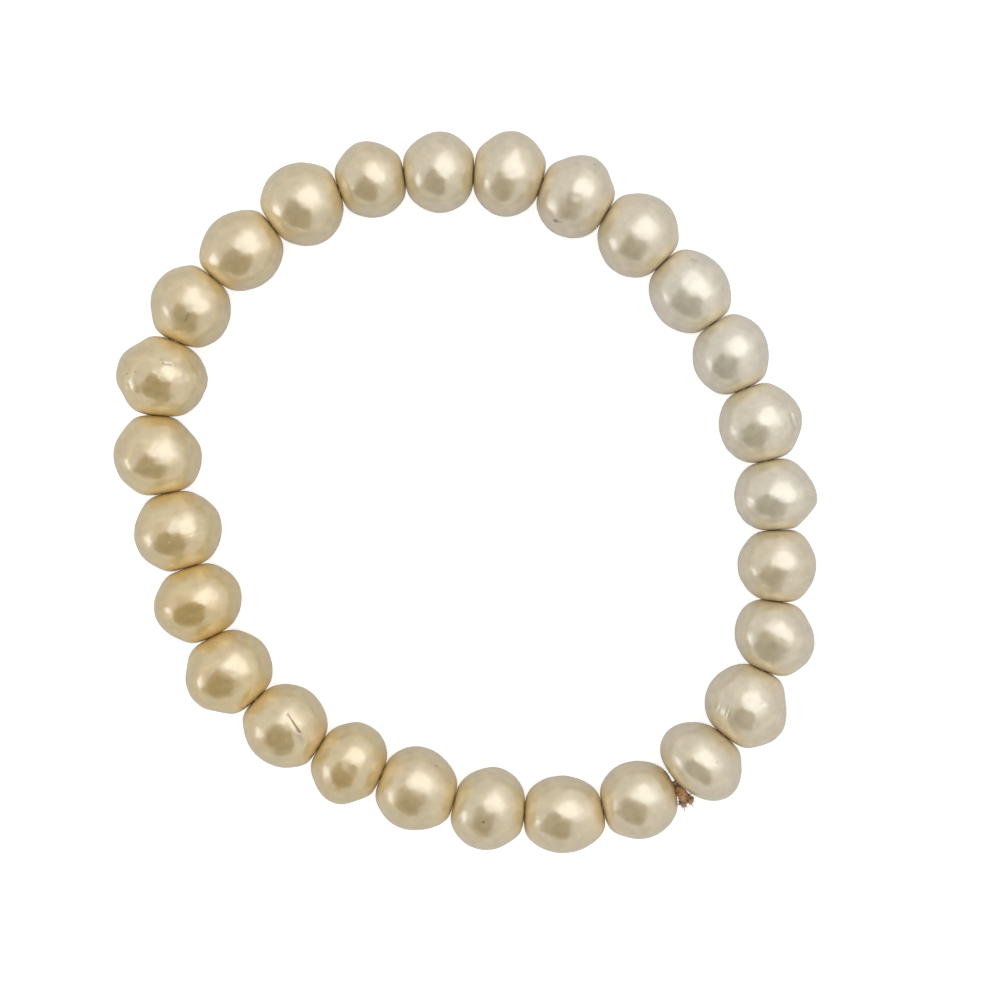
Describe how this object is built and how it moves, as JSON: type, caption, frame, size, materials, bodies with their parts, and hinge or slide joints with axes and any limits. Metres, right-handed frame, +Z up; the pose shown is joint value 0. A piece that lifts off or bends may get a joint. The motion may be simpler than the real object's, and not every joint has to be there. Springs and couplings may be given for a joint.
{
  "type": "pearl bracelet",
  "caption": "Stretch bracelet: drilled cream and white freshwater pearls side by side on an elastic cord, closed to a loop with a small knot, lying flat.",
  "frame": {"origin": "the middle of the bracelet's footprint, on the surface that it lies on", "axes": "+Z up from that surface, square to the loop; +Y towards the top of the picture and +X to its right"},
  "size_m": [0.0646, 0.0662, 0.0079],
  "materials": {
    "pearl_white": "lustrous white nacre",
    "pearl_cream": "lustrous cream nacre",
    "pearl_golden": "lustrous golden nacre",
    "cord": "dull fibrous elastic cord, peach to tan"
  },
  "bodies": {
    "root": {"pearl_01": "pearl_white", "pearl_02": "pearl_white", "pearl_03": "pearl_white", "pearl_04": "pearl_white", "pearl_05": "pearl_white", "pearl_06": "pearl_white", "pearl_07": "pearl_white", "pearl_08": "pearl_white", "pearl_09": "pearl_white", "pearl_10": "pearl_white", "pearl_11": "pearl_cream", "pearl_12": "pearl_cream", "pearl_13": "pearl_cream", "pearl_14": "pearl_golden", "pearl_15": "pearl_golden", "pearl_16": "pearl_golden", "pearl_17": "pearl_golden", "pearl_18": "pearl_golden", "pearl_19": "pearl_golden", "pearl_20": "pearl_golden", "pearl_21": "pearl_golden", "pearl_22": "pearl_golden", "pearl_23": "pearl_golden", "pearl_24": "pearl_golden", "pearl_25": "pearl_cream", "pearl_26": "pearl_cream", "pearl_27": "pearl_cream", "cord": "cord", "knot": "cord"}
  },
  "joints": []
}
